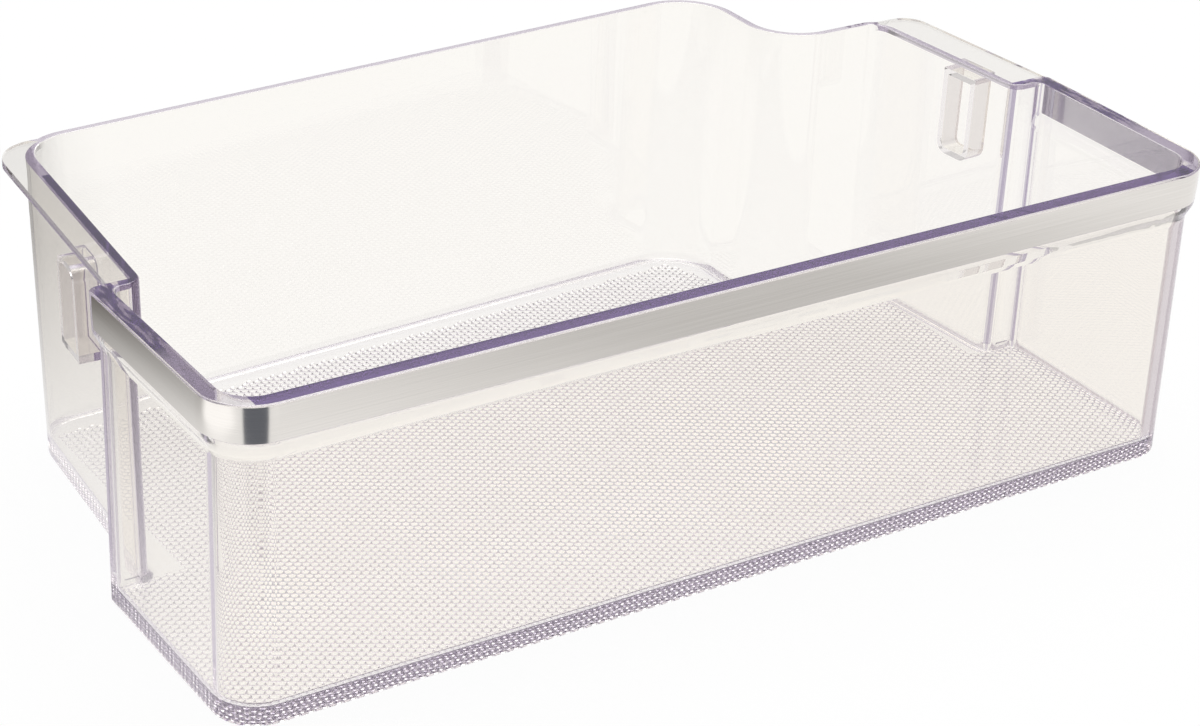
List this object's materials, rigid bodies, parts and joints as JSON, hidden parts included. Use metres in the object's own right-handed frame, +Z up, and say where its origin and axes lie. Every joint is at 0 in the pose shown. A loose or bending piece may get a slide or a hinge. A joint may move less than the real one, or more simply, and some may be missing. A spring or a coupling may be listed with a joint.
{
  "type": "refrigerator door bin",
  "caption": "Clear moulded refrigerator door bin with stepped sides, side flanges, hook lugs, a turned rear wall and a satin silver trim let into its front rim, for bottles and jars",
  "frame": {"origin": "middle of the bin's box at the level of its flat underside", "axes": "+X to the right as seen from the front, +Y towards the refrigerator door, +Z up; the trimmed front faces -Y"},
  "size_m": [0.4, 0.2348, 0.1175],
  "materials": {
    "clear_plastic": "clear gloss moulding, faint violet cast at cut edges",
    "satin_silver": "satin silver strip"
  },
  "bodies": {
    "root": {"bin_body": "clear_plastic", "trim_band": "satin_silver"}
  },
  "joints": []
}
